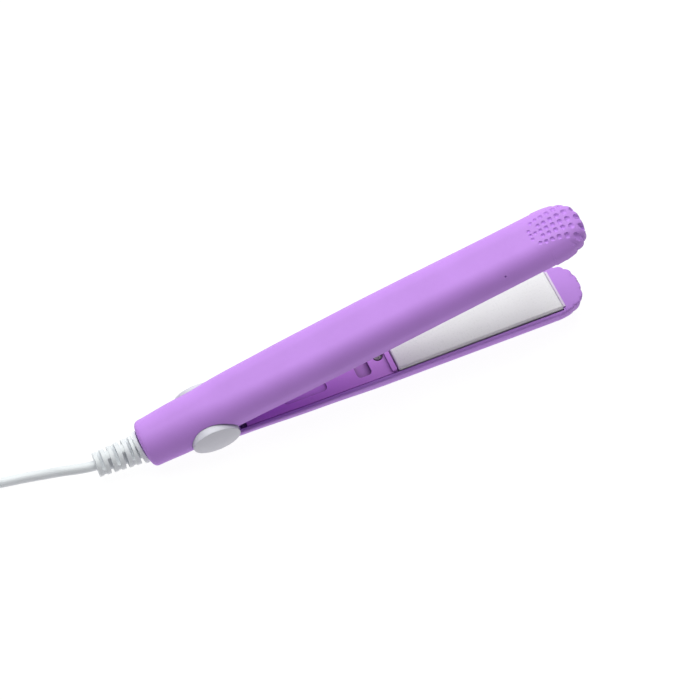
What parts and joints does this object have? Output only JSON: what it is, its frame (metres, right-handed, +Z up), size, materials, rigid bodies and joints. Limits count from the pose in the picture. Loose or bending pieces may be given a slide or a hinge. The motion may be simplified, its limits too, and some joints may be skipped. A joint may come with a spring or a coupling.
{
  "type": "mini hair straightening iron",
  "caption": "Slim two-arm hair iron with floating flat plates, a sprung pivot under oval caps, a full round rear barrel, a ribbed boot and a tied power lead with its plug.",
  "frame": {"origin": "centre of the footprint of the iron and its cord boot, on the surface it rests on", "axes": "+X from the cord end to the tips, +Z up, the hinge axis along Y"},
  "size_m": [0.3406, 0.0306, 0.0513],
  "materials": {
    "lilac_shell": "soft-touch matt lilac",
    "inner_cover": "matt moulded lilac",
    "ceramic_plate": "pale ceramic coating",
    "plate_holder": "heat-resistant moulding",
    "heater_case": "film-wrapped heater block",
    "steel": "plain zinc-plated steel",
    "silicone": "matt silicone",
    "lead_sleeve": "woven glass sleeve",
    "white_plastic": "satin white",
    "white_rubber": "smooth white PVC",
    "tie_band": "black coated wire tie",
    "brass": "bright"
  },
  "bodies": {
    "handle": {"upper_shell": "lilac_shell", "upper_inner_cover": "inner_cover", "upper_plate_holder": "plate_holder", "upper_float_pad_rear": "silicone", "upper_float_pad_front": "silicone", "upper_cover_screw_front": "steel", "upper_cover_screw_rear": "steel", "upper_heater_leads": "lead_sleeve", "thermal_fuse": "steel", "cord_clamp": "white_plastic", "cord_clamp_screw_near": "steel", "cord_clamp_screw_far": "steel", "strain_relief": "white_rubber", "cord": "white_rubber", "cord_hank": "white_rubber", "hank_tie": "tie_band", "plug_body": "white_rubber", "plug_blade_near": "brass", "plug_blade_far": "brass"},
    "jaw": {"lower_shell": "lilac_shell", "lower_inner_cover": "inner_cover", "lower_plate_holder": "plate_holder", "lower_float_pad_rear": "silicone", "lower_float_pad_front": "silicone", "lower_cover_screw_front": "steel", "lower_cover_screw_rear": "steel", "lower_heater_leads": "lead_sleeve", "pivot_pin": "steel", "pivot_cap_near": "white_plastic", "pivot_cap_far": "white_plastic", "torsion_spring": "steel"},
    "upper_plate_float": {"upper_plate": "ceramic_plate", "upper_heater": "heater_case", "upper_heater_clip": "steel"},
    "lower_plate_float": {"lower_plate": "ceramic_plate", "lower_heater": "heater_case", "lower_heater_clip": "steel"}
  },
  "joints": [
    {"name": "jaw_hinge", "type": "hinge", "parent": "handle", "child": "jaw", "pos_m": [-0.04868, 0, 0.01115], "axis": [0, -1, 0], "range_deg": [0, 14.45], "stiffness_Nm_per_rad": 0.15, "springref_deg": -40.11},
    {"name": "upper_plate_press", "type": "slide", "parent": "handle", "child": "upper_plate_float", "axis": [-0.2495, 0, 0.9684], "range_m": [0, 0.0005], "stiffness_N_per_m": 2000, "springref_m": -0.001, "deforming": ["upper_float_pad_rear", "upper_float_pad_front"]},
    {"name": "lower_plate_press", "type": "slide", "parent": "jaw", "child": "lower_plate_float", "axis": [0, 0, -1], "range_m": [0, 0.0005], "stiffness_N_per_m": 2000, "springref_m": -0.001, "deforming": ["lower_float_pad_rear", "lower_float_pad_front"]}
  ]
}
